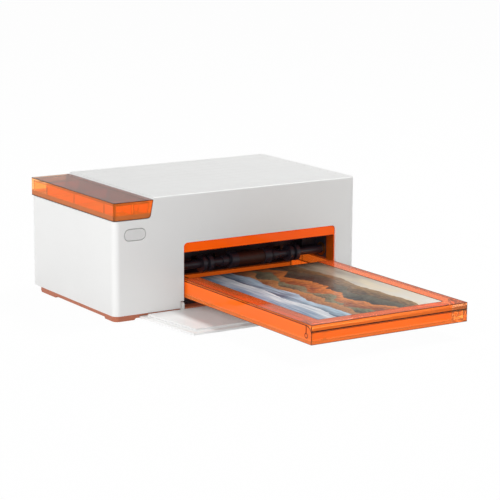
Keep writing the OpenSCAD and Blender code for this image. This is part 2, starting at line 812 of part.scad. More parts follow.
module pickup_drum() color("saddlebrown")
    ring(around(mid_x, [-drum_half, drum_half]), pickup_at, pickup_r, shaft_r);

module pickup_discs() color("black") {
    for (s = [-1, 1]) {
        a = s * drum_half;
        b = s * (drum_half + collar_l);
        ring(around(mid_x, [min(a, b), max(a, b)]), pickup_at, pickup_r + 0.9, shaft_r);
        ring(around(mid_x + s * 21, [-2.2, 2.2]), pickup_at, shaft_r + 1, shaft_r);
        for (d = [34, 39.5])
            ring(around(mid_x + s * d, [-1.4, 1.4]), pickup_at, pickup_r + 1.2, shaft_r);
        ring(around(mid_x + s * 36.8, [-1.4, 1.4]), pickup_at, shaft_r + 0.9, shaft_r);
    }
}

module pickup_gear() color("ivory")
    gear(gear_x, pickup_at, roller_teeth, pickup_phase, shaft_r);

module feed_roller() color("lightsteelblue") {
    rod_x(shaft_x, feed_at, shaft_r);
    rod_x(around(mid_x, [-1, 1] * (paper_w / 2 + 3)), feed_at, capstan_r);
}

module feed_roller_gear() color("ivory")
    gear(gear_x, feed_at, roller_teeth, feed_phase, shaft_r);

module pinch_roller() color("gray") {
    rod_x([frame_left[0], frame_right[1]], pinch_at, pinch_shaft_r);
    for (i = [0:3])
        rod_x(around(mid_x - 40.5 + i * 27, [-8, 8]), pinch_at, pinch_r);
}

module platen_shaft() color("silver")
    rod_x([frame_left[0] - 2, frame_right[1] + 1], platen_at, shaft_r);

module platen_sleeve() color("black")
    ring(around(mid_x, [-1, 1] * (paper_w / 2 + 2)), platen_at, platen_r, shaft_r);

// Drive gear of the take-up spool: its hub turns in the side frame and ends in a dog

module takeup_drive_gear() color("ivory") {
    gear(gear_x, takeup_at, takeup_teeth, takeup_phase, shaft_r - 0.5);
    difference() {
        rod_x([gear_x[0] - 0.6, spool_left + 3.2], takeup_at, shaft_r);
        for (s = [-1, 1])
            span([spool_left, spool_left + 4], around(takeup_at[0] + s * 2.4, [-1.5, 1.5]),
                 around(takeup_at[1], [-4, 4]));
    }
}

module supply_hub() color("silver")
    rod_x([frame_left[0], spool_left + 5], supply_at, axle_r);

// One half tube of the cartridge, open towards the film
module cartridge_tube(at, slit_angle) {
    difference() {
        rod_x([cart_x[0], cart_x[1]], at, tube_r);
        rod_x([cart_x[0] + end_t, cart_x[1] - end_t], at, tube_r - tube_t);
        translate([0, at[0], at[1]]) rotate([slit_angle, 0, 0])
            span([cart_x[0] + end_t + slit_inset, cart_x[1] - end_t - slit_inset],
                 [0, tube_r + 1], [-4.5, 4.5]);
        rod_x([cart_x[0] - 1, cart_x[1] + 1], at, spool_r + turn_gap);
    }
}

module ribbon_cartridge() color("darkslategray") {
    cartridge_tube(supply_at, -62);
    cartridge_tube(takeup_at, 232);
    for (x = [cart_x[0], cart_x[1] - end_t])
        difference() {
            along_x([x, x + end_t])
                polygon([supply_at + [8, 4], supply_at + [8, 11], takeup_at + [-8, 12], takeup_at + [-8, 5]]);
            for (at = [supply_at, takeup_at])
                rod_x([x - 1, x + end_t + 1], at, tube_r - tube_t / 2);
        }
}

module ribbon_film() color("indigo") {
    path = [[supply_at[0] + 0.5, supply_at[1] - supply_roll_r - 0.4], [platen_at[0] - 8, film_z],
            [platen_at[0] + 8, film_z], [takeup_at[0] - 2, takeup_at[1] - takeup_roll_r - 0.5]];
    up = [0, film_t];
    along_x(around(mid_x, [-1, 1] * paper_w / 2))
        polygon([path[0], path[1], path[2], path[3], path[3] + up, path[2] + up, path[1] + up, path[0] + up]);
}

// A spool with its core and the film wound on it
module spool(at, roll_r, bore_r) {
    difference() {
        rod_x([spool_left + 0.6, cart_x[1] + 2], at, spool_r);
        rod_x([spool_left, spool_left + 6], at, bore_r);
    }
    rod_x(around(mid_x, [-1, 1] * paper_w / 2), at, roll_r);
}

module supply_spool() color("indigo")
    spool(supply_at, supply_roll_r, axle_r + turn_gap);

module takeup_spool() color("darkmagenta")
    spool(takeup_at, takeup_roll_r, shaft_r + turn_gap);

module thermal_head() color("beige") {
    span(around(mid_x, [-1, 1] * (paper_w / 2 + 1)), head_y, [head_z + 0.6, head_z + 2.2]);
    rod_x(around(mid_x, [-1, 1] * (paper_w / 2)), [platen_at[0], head_z + 1], 1);
}

// Finned heat sink and the carriage that swings it down on to the platen
module head_carriage() color("silver") {
    half = paper_w / 2 + 1;
    sink = head_z + 2.2;
    arm_x = [cas_x[0] + 2, cas_x[0] + 5];
    span(around(mid_x, [-half, half]), head_y, [sink, sink + 5]);
    for (i = [0:3])
        span(around(mid_x, [-half, half]), around(head_y[0] + i * 3.1, [0, 1.2]), [sink + 4.9, carriage_z + 0.1]);
    span([cas_x[0] + 2, cas_x[1] - 2], [head_y[0], head_pivot[0] - 3], [carriage_z, carriage_z + 1.4]);
    for (x = [cas_x[0] + 2, cas_x[1] - 5])
        difference() {
            union() {
                rod_x([x, x + 3], head_pivot, 2.6);
                span([x, x + 3], around(head_pivot[0], [-5, 0]), [carriage_z, head_pivot[1] + 1]);
            }
            rod_x([x - 1, x + 4], head_pivot, axle_r * 0.75 + turn_gap);
        }
}

// Springs between the top deck and the carriage, drawn as stacks of turns
module head_springs() color("lightgray") {
    low = carriage_z + 1.4;
    turns = 4;
    wire_r = 0.53;
    rise = (deck_z - low - 2 * wire_r) / (turns - 1);
    for (x = around(mid_x, [-34, 34]), i = [0:turns - 1])
        translate([x, platen_at[0] + 1, low + wire_r + i * rise])
            rotate_extrude() translate([3.2, 0]) circle(wire_r, $fn = 32);
}

module head_pivot_rod() color("silver") {
    rod_x([frame_left[0], cas_x[0] + 1.4], head_pivot, axle_r);
    rod_x([cas_x[0] + 1.4, cas_x[1] - 1.4], head_pivot, axle_r * 0.75);
    rod_x([cas_x[1] - 1.4, frame_right[1]], head_pivot, axle_r);
}

module main_board() color("green") {
    top = board_z + board_t;
    span(board_x, board_y, [board_z, top]);
    span(around(mid_x, [-14, 2]), [56, 72], [top, top + 1]);
    span(around(mid_x, [12, 24]), [60, 70], [top, top + 1]);
    for (i = [0:4])
        span(around(mid_x, [-46 + i * 6, -42 + i * 6]), [80, 84], [top, top + 0.9]);
    for (x = [-30, 34])
        span(around(mid_x, [x, x + 14]), [46, 49], [top, top + chip_h]);
}

module board_spacers() color("goldenrod") {
    for (x = board_x + [4, -4], y = board_y + [4, -4])
        translate([x, y, deck_z + deck_t]) cylinder(r = 2.4, h = board_lift);
}

module power_board() color("green") {
    x0 = -body_w / 2 + 8;
    x1 = frame_left[0] - 12;
    y1 = body_d - wall - 1;
    top = power_z + board_t;
    difference() {
        span([x0, x1], [44, y1], [power_z, top]);
        screw_places() translate([0, 0, power_z - 1]) cylinder(r = boss_r + 0.6, h = board_t + 2);
    }
    difference() {
        span(around(jack_x, [-5.5, 5.5]), [y1 - 13, y1], [top, top + 11]);
        rod_y([y1 - 10, y1 + 1], [jack_x, top + 5.5], 2.75);
    }
    rod_y([y1 - 11, y1 - 0.5], [jack_x, top + 5.5], 1);
    difference() {
        span(around(data_x, [-4.5, 4.5]), [y1 - 7, y1], [top, top + 3.4]);
        span(around(data_x, [-3.9, 3.9]), [y1 - 6, y1 + 1], around(top, [0.5, 2.9]));
    }
    for (p = [[14, 50], [26, 50], [14, 62]])
        translate([-body_w / 2 + p[0], p[1], top]) cylinder(r = 4, h = 4.4);
    span(around(-body_w / 2, [12, 24]), [88, 102], [top, top + 9]);
}

module button_board() color("green") {
    y0 = 6.5;
    span(around(button_at[0], [-13, 13]), [y0, y0 + board_t], around(button_at[1], [-6, 6]));
    span(around(button_at[0], [-3, 3]), [button_y + button_travel + 0.1, y0], around(button_at[1], [-3, 3]));
}

module power_button() color("whitesmoke") {
    along_y([0, wall + 0.6]) translate(button_at) stadium(button_w, button_h);
    along_y([wall + 0.3, wall + 1.3]) translate(button_at) stadium(button_w + 2, button_h + 2);
    rod_y([wall + 1, button_y], button_at, 1.6);
}

// Front cover, lying open: its rear edge runs under the base to the two hinge arms
module front_cover() color("white") {
    back = flap_pivot[0] + 1.2;
    pad_in = 5.4;
    difference() {
        union() {
            translate([0, 0, flap_under]) linear_extrude(flap_t)
                polygon([[flap_left, back], [flap_left + flap_slant, -flap_reach],
                         [flap_right - flap_slant, -flap_reach], [flap_right, back]]);
            translate([0, 0, flap_top - 0.1]) linear_extrude(flap_pad_t + 0.1)
                polygon([[flap_left + pad_in, -1], [flap_left + pad_in + flap_slant, -flap_reach + 6],
                         [flap_right - pad_in - flap_slant, -flap_reach + 6], [flap_right - pad_in, -1]]);
            for (x = [open_x[0] - flap_arm_t + 0.5, open_x[1] - 0.5]) {
                rod_x([x, x + flap_arm_t], flap_pivot, flap_eye_r);
                span([x, x + flap_arm_t], around(flap_pivot[0], [-flap_eye_r, 1.1]), [flap_top - 0.2, flap_pivot[1]]);
            }
        }
        for (x = [open_x[0] - flap_arm_t, open_x[1] - 1])
            rod_x([x, x + flap_arm_t + 1], flap_pivot, flap_pin_d / 2 + turn_gap);
    }
}

module front_cover_pins() color("silver") {
    rod_x([open_x[0] - jamb_notch - flap_boss_l, open_x[0] + 0.4], flap_pivot, flap_pin_d / 2);
    rod_x([open_x[1] - 0.4, open_x[1] + jamb_notch + flap_boss_l], flap_pivot, flap_pin_d / 2);
}

// Ribbon door: a flat panel that ends below in a round barrel about the hinge line
module ribbon_door() color("white") {
    y = door_y + [door_gap, -door_gap];
    outer = body_w / 2;
    difference() {
        union() {
            span([outer - door_t, outer], y, [door_pivot[1], door_z[1] - door_gap]);
            rod_y(y, door_pivot, door_barrel_r);
            for (z = [46, 58])
                span([outer - door_t - 1.4, outer - door_t + 0.1], y + [3, -3], [z, z + 1.2]);
            span([outer - door_t - 1.2, outer - door_t + 0.1], around(mid_of(door_y), [-6, 6]),
                 around(door_z[1] - door_gap, [-3, -1.6]));
        }
        for (end = [[y[0] - 1, y[0] + door_eye_l], [y[1] - door_eye_l, y[1] + 1]])
            rod_y(end, door_pivot, door_pin_d / 2 + turn_gap);
        span([outer - 1.2, outer + 1], around(mid_of(door_y), [-9, 9]), [door_z[1] - door_gap - 4, door_z[1]]);
    }
}

module ribbon_door_pins() color("silver") {
    rod_y([door_y[0] - 5, door_y[0] + door_gap + door_eye_l - 0.5], door_pivot, door_pin_d / 2);
    rod_y([door_y[1] - door_gap - door_eye_l + 0.5, door_y[1] + 5], door_pivot, door_pin_d / 2);
}

// The front end of the tray is round about the lid pins, so that the nose of the lid can turn there
module tray_side_outline(inner_y) {
    nose = lid_nose - lid_clear;
    intersection() {
        translate([-cas_out, cas_z]) square([cas_out + inner_y, tray_rim - cas_z]);
        union() {
            translate([lid_pivot[0], cas_z]) square([cas_out + inner_y, cas_h]);
            translate([-cas_out, cas_z]) square([10, lid_pivot[1] - cas_z]);
            translate(lid_pivot) circle(nose);
        }
    }
}

// Clear tray: floor, walls, the rails that centre the sheets, and slots for the pins of the lid
module cassette_tray() color("darkorange") {
    inner = [cas_x[0] + cas_wall, cas_x[1] - cas_wall];
    floor_z = cas_z + cas_floor;
    guide_t = 1.6;
    difference() {
        union() {
            along_x(cas_x) tray_side_outline(cas_in);
            for (x = [cas_x[0], cas_x[1] - cas_wall])
                span([x, x + cas_wall], [lid_end + 0.5, cas_in], [cas_z, cas_top]);
        }
        difference() {
            span(inner, [-cas_out + cas_wall, cas_in - cas_wall], [floor_z, cas_top + 1]);
            for (x = [sheet_x[0] - 0.4 - guide_t, sheet_x[1] + 0.4])
                span([x, x + guide_t], [-cas_out, cas_in], [floor_z - 1, tray_rim - 1.6]);
        }
        for (x = [inner[0], inner[1] - 5])
            span([x, x + 5], [-cas_out + cas_wall + 0.4, -cas_out + 20], [floor_z, cas_top + 1]);
        span(sheet_x, [cas_in - cas_wall - 1, cas_in + 1], [cas_z + 7, cas_top + 1]);
        rod_x(cas_x + [-1, 1], lid_pivot, lid_pin_r + turn_gap);
        span(cas_x + [-1, 1], around(lid_pivot[0], [-0.3, 0.3]), [lid_pivot[1], cas_top]);
        for (x = [inner[0] + 3, inner[1] - 8])
            span([x, x + 5], [-30, -24], [cas_z - 1, floor_z + 0.1]);
    }
    for (x = around(mid_x, [-1, 1] * 30))
        difference() {
            span([x - 3, x + 3], around(lift_hinge[0], [-6, 3]), [floor_z - 0.1, lift_hinge[1] + 1.6]);
            span([x - 1.4, x + 1.4], around(lift_hinge[0], [-7, 4]), [floor_z, lift_hinge[1] + 3]);
            rod_x([x - 4, x + 4], lift_hinge, 0.9);
        }
}

// Clear lid: a thin plate with a recess for the finished print and a nose over the front wall
module cassette_lid() color("orange") {
    arm_x = [[cas_x[0] + cas_wall + 0.4, cas_x[0] + cas_wall + 3],
             [cas_x[1] - cas_wall - 3, cas_x[1] - cas_wall - 0.4]];
    nose_low = lid_pivot[1] + 3.2;
    difference() {
        union() {
            span(cas_x, [lid_pivot[0], lid_end], [lid_under, cas_top]);
            along_x(cas_x) difference() {
                translate([-cas_out, nose_low]) square([lid_pivot[0] + cas_out + 0.01, cas_top - nose_low]);
                translate(lid_pivot) circle(lid_nose);
            }
            for (x = arm_x) {
                rod_x(x, lid_pivot, 2.3);
                along_x(x) polygon([lid_pivot + [-2, 1], lid_pivot + [2, lid_nose + 0.1],
                                    lid_pivot + [9, lid_nose + 0.1], lid_pivot + [2.1, -0.9]]);
            }
            rod_x([cas_x[0], arm_x[0][1]], lid_pivot, lid_pin_r);
            rod_x([arm_x[1][0], cas_x[1]], lid_pivot, lid_pin_r);
        }
        span(sheet_x + [-0.3, 0.3], print_y + [-0.3, 1], around(cas_top, [-print_depth, 1]));
    }
}

// Plate that lifts the sheets to the pickup roller, with knuckles on two small pins
module lift_plate() color("silver") {
    difference() {
        union() {
            span(around(mid_x, [-1, 1] * (paper_w / 2 - 6)), [lift_hinge[0] + 3.4, cas_in - 6], around(lift_hinge[1], [-0.6, lift_t - 0.6]));
            for (x = around(mid_x, [-1, 1] * 30)) {
                span([x - 1.1, x + 1.1], around(lift_hinge[0], [0, 4]), around(lift_hinge[1], [-0.6, lift_t - 0.6]));
                rod_x([x - 2.9, x + 2.9], lift_hinge, 0.85);
            }
        }
        span(around(mid_x, [-13, 13]), [-6, 12], around(lift_hinge[1], [-2, 2]));
    }
}

module lift_spring() color("lightgray") {
    floor_z = cas_z + cas_floor;
    for (x = around(mid_x, [-1, 1] * 26))
        along_x(around(x, [-4, 4]))
            polygon([[4, floor_z], [22, floor_z], [30, floor_z + 0.25], [30, floor_z + 0.5], [22, floor_z + 0.3],
                     [4, floor_z + 0.3]]);
}

module photo_print() color("slategray")
    span(sheet_x, print_y, around(cas_top - print_depth, [0, print_t]));

// The printer stands on its feet with the middle of its footprint at the origin
module place()
    translate([0, stand_y, stand_z]) children();

place() upper_shell();
place() base_plate();
place() feet();
place() base_screws();
place() opening_lining();
place() corner_cover();
place() corner_cover_floor();
place() floor_frame();
place() left_side_frame();
place() right_side_frame();
place() top_deck();
place() feed_guide();
place() feed_ramp();
place() exit_guide();
place() gear_plate();
place() gear_plate_posts();
place() idler_axles();
place() shaft_bushes();
place() drive_motor();
place() motor_pinion();
place() large_idler_gear();
place() small_idler_gear();
place() pickup_shaft();
place() pickup_drum();
place() pickup_discs();
place() pickup_gear();
place() feed_roller();
place() feed_roller_gear();
place() pinch_roller();
place() platen_shaft();
place() platen_sleeve();
place() takeup_drive_gear();
place() supply_hub();
place() ribbon_cartridge();
place() ribbon_film();
place() supply_spool();
place() takeup_spool();
place() thermal_head();
place() head_carriage();
place() head_springs();
place() head_pivot_rod();
place() main_board();
place() board_spacers();
place() power_board();
place() button_board();
place() power_button();
place() front_cover();
place() front_cover_pins();
place() ribbon_door();
place() ribbon_door_pins();
place() cassette_tray();
place() cassette_lid();
place() lift_plate();
place() lift_spring();
place() photo_print();
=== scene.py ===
# %% [markdown]
# # A compact photo printer
# The printer is a set of exact solids in a fixed frame, in metres: a white moulded housing, a
# clear amber cassette with a print on its lid, and frames, rollers, gears and boards inside.
# Each could be modelled again here, but the solids already have their true shapes and joints.
# So this lesson moves and reshapes none of them. It gives each one the finish of its real
# material and sets up a plain studio around them.

# %% Load the frame
import math

import bpy
from mathutils import Matrix, Vector


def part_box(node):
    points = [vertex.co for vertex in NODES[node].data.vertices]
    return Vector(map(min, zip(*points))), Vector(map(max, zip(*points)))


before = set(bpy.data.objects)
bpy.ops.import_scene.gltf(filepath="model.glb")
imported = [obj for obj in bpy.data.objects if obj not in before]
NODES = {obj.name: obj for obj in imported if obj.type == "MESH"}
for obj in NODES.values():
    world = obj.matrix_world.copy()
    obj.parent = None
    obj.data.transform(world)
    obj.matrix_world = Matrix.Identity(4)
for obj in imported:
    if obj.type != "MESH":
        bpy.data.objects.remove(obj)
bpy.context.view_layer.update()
MM = 0.001
print("pieces in the frame:", len(NODES))


# %% [markdown]
# ## Two small helpers
# A maker names a colour as on a paint card, and the hex values here are such sRGB colours. Cycles
# works with linear light. Its linear numbers could be written by hand, but they can't be read as
# a colour, so one function turns the hex values into them. The other helper adds a shader node
# with its settings and links. It serves every kind of node, so that a material stays a short
# list of what feeds what.

# %% Colours and nodes
def linear(hex_colour):
    """An sRGB hex colour as linear RGBA, by the curve of the sRGB standard."""
    parts = [int(hex_colour[i:i + 2], 16) / 255 for i in (1, 3, 5)]
    return [c / 12.92 if c <= 0.04045 else ((c + 0.055) / 1.055) ** 2.4 for c in parts] + [1]


def add(tree, kind, inputs=None, **settings):
    """Adds a node. An input is a plain value, or a socket that is linked to it."""
    made = tree.nodes.new(kind)
    for name, value in settings.items():
        setattr(made, name, value)
    for name, value in (inputs or {}).items():
        if isinstance(value, bpy.types.NodeSocket):
            tree.links.new(value, made.inputs[name])
        else:
            made.inputs[name].default_value = value
    return made


def new_material(name):
    """An empty material and its node tree."""
    material = bpy.data.materials.new(name)
    material.use_nodes = True
    material.node_tree.nodes.clear()
    return material, material.node_tree


def finish_material(tree, shader):
    """Links a shader to the material's output."""
    add(tree, "ShaderNodeOutputMaterial", {"Surface": shader})


print("mid grey in linear light: %.3f" % linear("#808080")[0])


# %% [markdown]
# ## Patterns at a real size
# A moulded skin, a ground roller and a brushed sheet are one kind of pattern at other sizes:
# grains of a known width, long or round. They could be images, but an image repeats and needs
# its seams placed. A noise in object coordinates needs neither. Those are metres here, so a
# noise's scale is one over the grain's width in metres.

# %% Grain and colour
NOISE_LOW, NOISE_HIGH = 0.3, 0.7


def grain(tree, width_mm, stretch=(1, 1, 1), detail=2.0):
    """Noise whose grains are width_mm across, stretched along an axis where that is below 1."""
    place = add(tree, "ShaderNodeTexCoord").outputs["Object"]
    turned = add(tree, "ShaderNodeMapping", {"Vector": place, "Scale": stretch})
    return add(tree, "ShaderNodeTexNoise", {"Vector": turned.outputs["Vector"],
               "Scale": 1 / (width_mm * MM), "Detail": detail}).outputs["Fac"]


def spread(tree, value, low, high):
    """Maps noise, which mostly lies between NOISE_LOW and NOISE_HIGH, to low..high."""
    return add(tree, "ShaderNodeMapRange", {
        "Value": value, "From Min": NOISE_LOW, "From Max": NOISE_HIGH,
        "To Min": low, "To Max": high}).outputs["Result"]


def between(tree, factor, first, second):
    """A colour between two hex values or sockets."""
    mixed = add(tree, "ShaderNodeMix", {0: factor}, data_type="RGBA")
    for socket, colour in ((mixed.inputs[6], first), (mixed.inputs[7], second)):
        if isinstance(colour, str):
            socket.default_value = linear(colour)
        else:
            tree.links.new(colour, socket)
    return mixed.outputs[2]


def skin(tree, height, depth_mm, strength=0.4):
    """A bump of that depth."""
    return add(tree, "ShaderNodeBump", {"Height": height, "Distance": depth_mm * MM,
               "Strength": strength}).outputs["Normal"]


print("noise is spread from %.1f to %.1f" % (NOISE_LOW, NOISE_HIGH))


# %% [markdown]
# ## Where the edges are
# Edges of a piece are painted in a colour of their own. Part of that is wear, where hands polish
# them, and part is painted light: the highlight, shade or dark line that light gives a small
# edge. A painted mask could mark them by hand. A Bevel node finds them by itself: it gives the
# direction that a rounded edge would have, and where that turns away from the face's own
# direction there is an edge.

# %% Edges
EDGE_SAMPLES = 6


def edge_mask(tree, radius_mm, gain):
    """1 on an edge of the solid and 0 on its flat faces."""
    round_normal = add(tree, "ShaderNodeBevel", {"Radius": radius_mm * MM}, samples=EDGE_SAMPLES)
    true_normal = add(tree, "ShaderNodeNewGeometry").outputs["Normal"]
    same = add(tree, "ShaderNodeVectorMath", {0: round_normal.outputs["Normal"], 1: true_normal},
               operation="DOT_PRODUCT").outputs["Value"]
    along = add(tree, "ShaderNodeMath", {0: same}, operation="ABSOLUTE").outputs[0]
    off = add(tree, "ShaderNodeMath", {0: 1.0, 1: along}, operation="SUBTRACT").outputs[0]
    return add(tree, "ShaderNodeMath", {0: off, 1: gain}, operation="MULTIPLY",
               use_clamp=True).outputs[0]


print("edges are found with", EDGE_SAMPLES, "samples")


# %% [markdown]
# ## Moulded plastics
# The housing is white ABS from a finely eroded mould. One plain white would look like paint, so
# the material has three details: faint patches where the melt flowed, edges painted in a second
# colour, and the grain of the mould as a shallow bump. Paler edges are partly wear from rubbing
# and partly a painted highlight, and a dark edge colour is painted shade. Rubber, film and glaze
# are skins with the same three details at other sizes, so this function serves them too.

# %% A moulded skin
PATCH_MM, PATCH_SHARE = 45, 0.14
GLOSS_MM, GLOSSIER, DULLER = 6, 0.05, 0.07
# the painted edges: partly wear, partly a painted highlight, and painted shade where the second
# colour is dark
EDGE_TONE_MM, EDGE_TONE_GAIN = 0.35, 3.0


def moulded_plastic(name, colour, patch_and_edge_colour, rough, ior=1.53, grain_mm=0.5, depth_mm=0.02,
                    edge_wear_and_light=0.35):
    """edge_wear_and_light says how far the edges go from the first colour to
    patch_and_edge_colour: partly wear, partly a painted highlight, and painted shade where that
    colour is dark.
    """
    material, tree = new_material(name)
    patches = spread(tree, grain(tree, PATCH_MM, detail=3), 0.0, PATCH_SHARE)
    base = between(tree, patches, colour, patch_and_edge_colour)
    # edges painted towards the second colour, partly as wear and partly as painted light
    edges = edge_mask(tree, EDGE_TONE_MM, EDGE_TONE_GAIN)
    wear_and_light_mask = add(tree, "ShaderNodeMath", {0: edges, 1: edge_wear_and_light}, operation="MULTIPLY").outputs[0]
    shader = add(tree, "ShaderNodeBsdfPrincipled", {
        "Base Color": between(tree, wear_and_light_mask, base, patch_and_edge_colour),
        "Roughness": spread(tree, grain(tree, GLOSS_MM, detail=4), rough - GLOSSIER,
                            rough + DULLER),
        "IOR": ior,
        "Normal": skin(tree, grain(tree, grain_mm), depth_mm)})
    finish_material(tree, shader.outputs["BSDF"])
    return material


print("flow patches, mm:", PATCH_MM)

# %% [markdown]
# ## Housing, feet, frames and gears
# Each real plastic has its own sheen: ABS is satin, polypropylene waxy, glass-filled nylon dull,
# with grey edges that are partly wear where paper rubs and partly a painted highlight, and acetal
# milky. They could differ in colour only, but the sheen is what tells them apart in one light. A
# mould's own grain is about 0.1 mm wide, too fine to show, so it is drawn about five times as
# wide.

# %% The moulded finishes
# a soft, even highlight on white, with edges painted a little paler: partly wear, partly a
# painted highlight
WHITE_ABS = moulded_plastic("satin_moulded_ABS", "#EEEEED", "#F8F8F7", 0.42, grain_mm=0.45)
# the same white, with its edge painted dark grey: painted shade of the gap round the button
BUTTON_ABS = moulded_plastic("satin_moulded_ABS_button", "#E9E9E8", "#5A5A5A", 0.36,
                             grain_mm=0.45, edge_wear_and_light=1.0)
# a wide dull highlight on brown, with edges painted paler: partly wear, partly a painted
# highlight
TERRACOTTA_PP = moulded_plastic("moulded_polypropylene", "#B9694A", "#D48D6C", 0.46, ior=1.49)
# bluish black with grey edges: partly wear, partly a painted highlight
BLACK_NYLON = moulded_plastic("glass_filled_nylon", "#211F28", "#4A4854", 0.34, grain_mm=0.8,
                              depth_mm=0.03, edge_wear_and_light=0.5)
# a creamy white with a clear highlight
ACETAL = moulded_plastic("natural_acetal", "#E3DDCB", "#F1EDE0", 0.3, ior=1.48)
for plastic in (WHITE_ABS, BUTTON_ABS, TERRACOTTA_PP, BLACK_NYLON, ACETAL):
    print("moulded plastic:", plastic.name)

# %% [markdown]
# ## Clear amber plastic: which way a face looks
# The cassette, the corner cover and the lining of the opening are clear amber polycarbonate.
# Their upright walls and their tops get different colours and shares of light that goes through,
# which paints how light falls on them: painted reflection on the tops, painted shade on the
# lining's sides. Two materials on each piece could show that, but its faces would have to be
# picked one by one. The surface's own direction tells them apart without that. It also finds the
# small rounded edges, which are painted darker.

# %% Faces and rounded edges
FLAT, ROUND = 0.97, 0.62


def facing(tree, axis):
    """1 on a face square to that axis and 0 on one along it, whichever side it is seen from."""
    normal = add(tree, "ShaderNodeNewGeometry").outputs["Normal"]
    part = add(tree, "ShaderNodeSeparateXYZ", {"Vector": normal}).outputs[axis]
    return add(tree, "ShaderNodeMath", {0: part}, operation="ABSOLUTE").outputs[0]


def rounded(tree):
    """0 on a face square to an axis and 1 on a rounded edge between two of them."""
    widest = 0.0
    for axis in "XYZ":
        widest = add(tree, "ShaderNodeMath", {0: widest, 1: facing(tree, axis)},
                     operation="MAXIMUM").outputs[0]
    return add(tree, "ShaderNodeMapRange", {"Value": widest, "From Min": FLAT,
               "From Max": ROUND}).outputs["Result"]


def zone(tree, axis, start, end):
    """0 before start and 1 past end, in metres along that axis of the frame."""
    place = add(tree, "ShaderNodeTexCoord").outputs["Object"]
    along = add(tree, "ShaderNodeSeparateXYZ", {"Vector": place}).outputs[axis]
    return add(tree, "ShaderNodeMapRange", {"Value": along, "From Min": start,
               "From Max": end}).outputs["Result"]


print("an edge is rounded below %.2f and full below %.2f" % (FLAT, ROUND))


# %% [markdown]
# ## Clear amber plastic: the material
# Light that runs along a clear wall comes out at its edge after a long way, so an edge looks like
# a thin, nearly black line, and that line is painted on. A wall scatters much of the light, and a
# painted orange glow, an emission, stands in for the light that wanders inside it. Glass with a
# coloured volume could give all this, but thin walls need many bounces and stay noisy. So a share
# of the light goes through and the rest scatters, and the face's direction sets the share and the
# colour, which paints how light falls on walls and tops. Lamps shine through a clear piece and
# leave a grey shadow, which a Transparent shader gives for shadow rays.
# Polycarbonate bends light at an IOR of 1.585. It is lower here, so that a wall shows what is
# behind it and not a reflection of its other side.

# %% Clear plastic
SHADE = "#6A6A6A"
CLEAR_IOR = 1.25
FLOW_MM, RIPPLE_MM = 30, 9
# the gain of the painted dark lines on the edges
LINE_GAIN = 60.0
POLISHED, SATIN = 0.04, 0.09


def body_and_share(tree, level, walls, tops, wall_clear, top_clear, zones):
    """The colour of the plastic and the share of light that goes through it, both painted by
    which way a face looks and by the zones of painted light and shade.
    """
    upright = add(tree, "ShaderNodeMath", {0: 1.0, 1: level}, operation="SUBTRACT").outputs[0]
    flow = spread(tree, grain(tree, FLOW_MM, stretch=(1, 0.3, 1), detail=2), 0.0, 1.0)
    body = between(tree, flow, between(tree, level, walls[0], tops[0]),
                   between(tree, level, walls[1], tops[1]))
    through = add(tree, "ShaderNodeMapRange", {"Value": level, "To Min": wall_clear,
                  "To Max": top_clear}).outputs["Result"]
    for faces, axis, start, end, colour, share in zones:
        here = add(tree, "ShaderNodeMath", {0: zone(tree, axis, start, end),
                   1: upright if faces == "walls" else level}, operation="MULTIPLY").outputs[0]
        body = between(tree, here, body, colour)
        through = add(tree, "ShaderNodeMix", {0: here, 2: through, 3: share},
                      data_type="FLOAT").outputs[0]
    return body, through


def clear_plastic(name, walls, tops, deep, wall_clear, top_clear, zones, painted_glow,
                  axis="Z", top_dark=1.0, line_mm=0.8):
    """Faces square to the axis have the tops' two colours and share, which paint how light falls
    on them. painted_glow is the strength of a painted orange emission, and top_dark takes it off
    those faces. deep is the colour of the painted dark lines on the edges, and line_mm their
    width."""
    material, tree = new_material(name)
    # which way a face looks, which sets the painted light and shade on it
    level = facing(tree, axis)
    # painted dark lines on the edges and on the rounded edges
    line = add(tree, "ShaderNodeMath", {0: edge_mask(tree, line_mm, LINE_GAIN),
               1: rounded(tree)}, operation="MAXIMUM").outputs[0]
    body, through = body_and_share(tree, level, walls, tops, wall_clear, top_clear, zones)
    top_part = add(tree, "ShaderNodeMath", {0: level, 1: top_dark},
                   operation="MULTIPLY").outputs[0]
    unlit = add(tree, "ShaderNodeMath", {0: line, 1: top_part}, operation="MAXIMUM").outputs[0]
    no_line = add(tree, "ShaderNodeMath", {0: 1.0, 1: line}, operation="SUBTRACT").outputs[0]
    clear = add(tree, "ShaderNodeMath", {0: through, 1: no_line}, operation="MULTIPLY").outputs[0]
    shader = add(tree, "ShaderNodeBsdfPrincipled", {
        # the body colour, with painted dark lines on the edges
        "Base Color": between(tree, line, body, deep),
        "Roughness": spread(tree, grain(tree, 4, detail=3), POLISHED, SATIN),
        "IOR": CLEAR_IOR,
        "Transmission Weight": clear,
        # a painted glow: the walls give off orange light though they are no lamp
        "Emission Color": between(tree, unlit, walls[0], "#000000"),
        "Emission Strength": painted_glow,
        "Normal": skin(tree, grain(tree, RIPPLE_MM), 0.01, 0.12)})
    lamp_way = add(tree, "ShaderNodeBsdfTransparent", {"Color": linear(SHADE)})
    is_shadow = add(tree, "ShaderNodeLightPath").outputs["Is Shadow Ray"]
    mixed = add(tree, "ShaderNodeMixShader", {0: is_shadow, 1: shader.outputs["BSDF"],
                2: lamp_way.outputs["BSDF"]})
    finish_material(tree, mixed.outputs["Shader"])
    return material


print("the clear plastic's IOR:", CLEAR_IOR)

# %% [markdown]
# ## Clear amber plastic: painted light and shade in zones
# Light and shade are painted in zones. The far ends of the walls and the foot of the tray's walls
# are painted paler, as painted light. The foot of the cover's walls, a strip on the cover's top,
# the lid's rear rim inside the printer and the top of the lining are painted darker, as painted
# shade. Cutting the pieces up would give each place its own finish, but the real pieces are
# whole. A zone starts at a measured place on the piece instead, and holds a colour and a share
# that goes through.

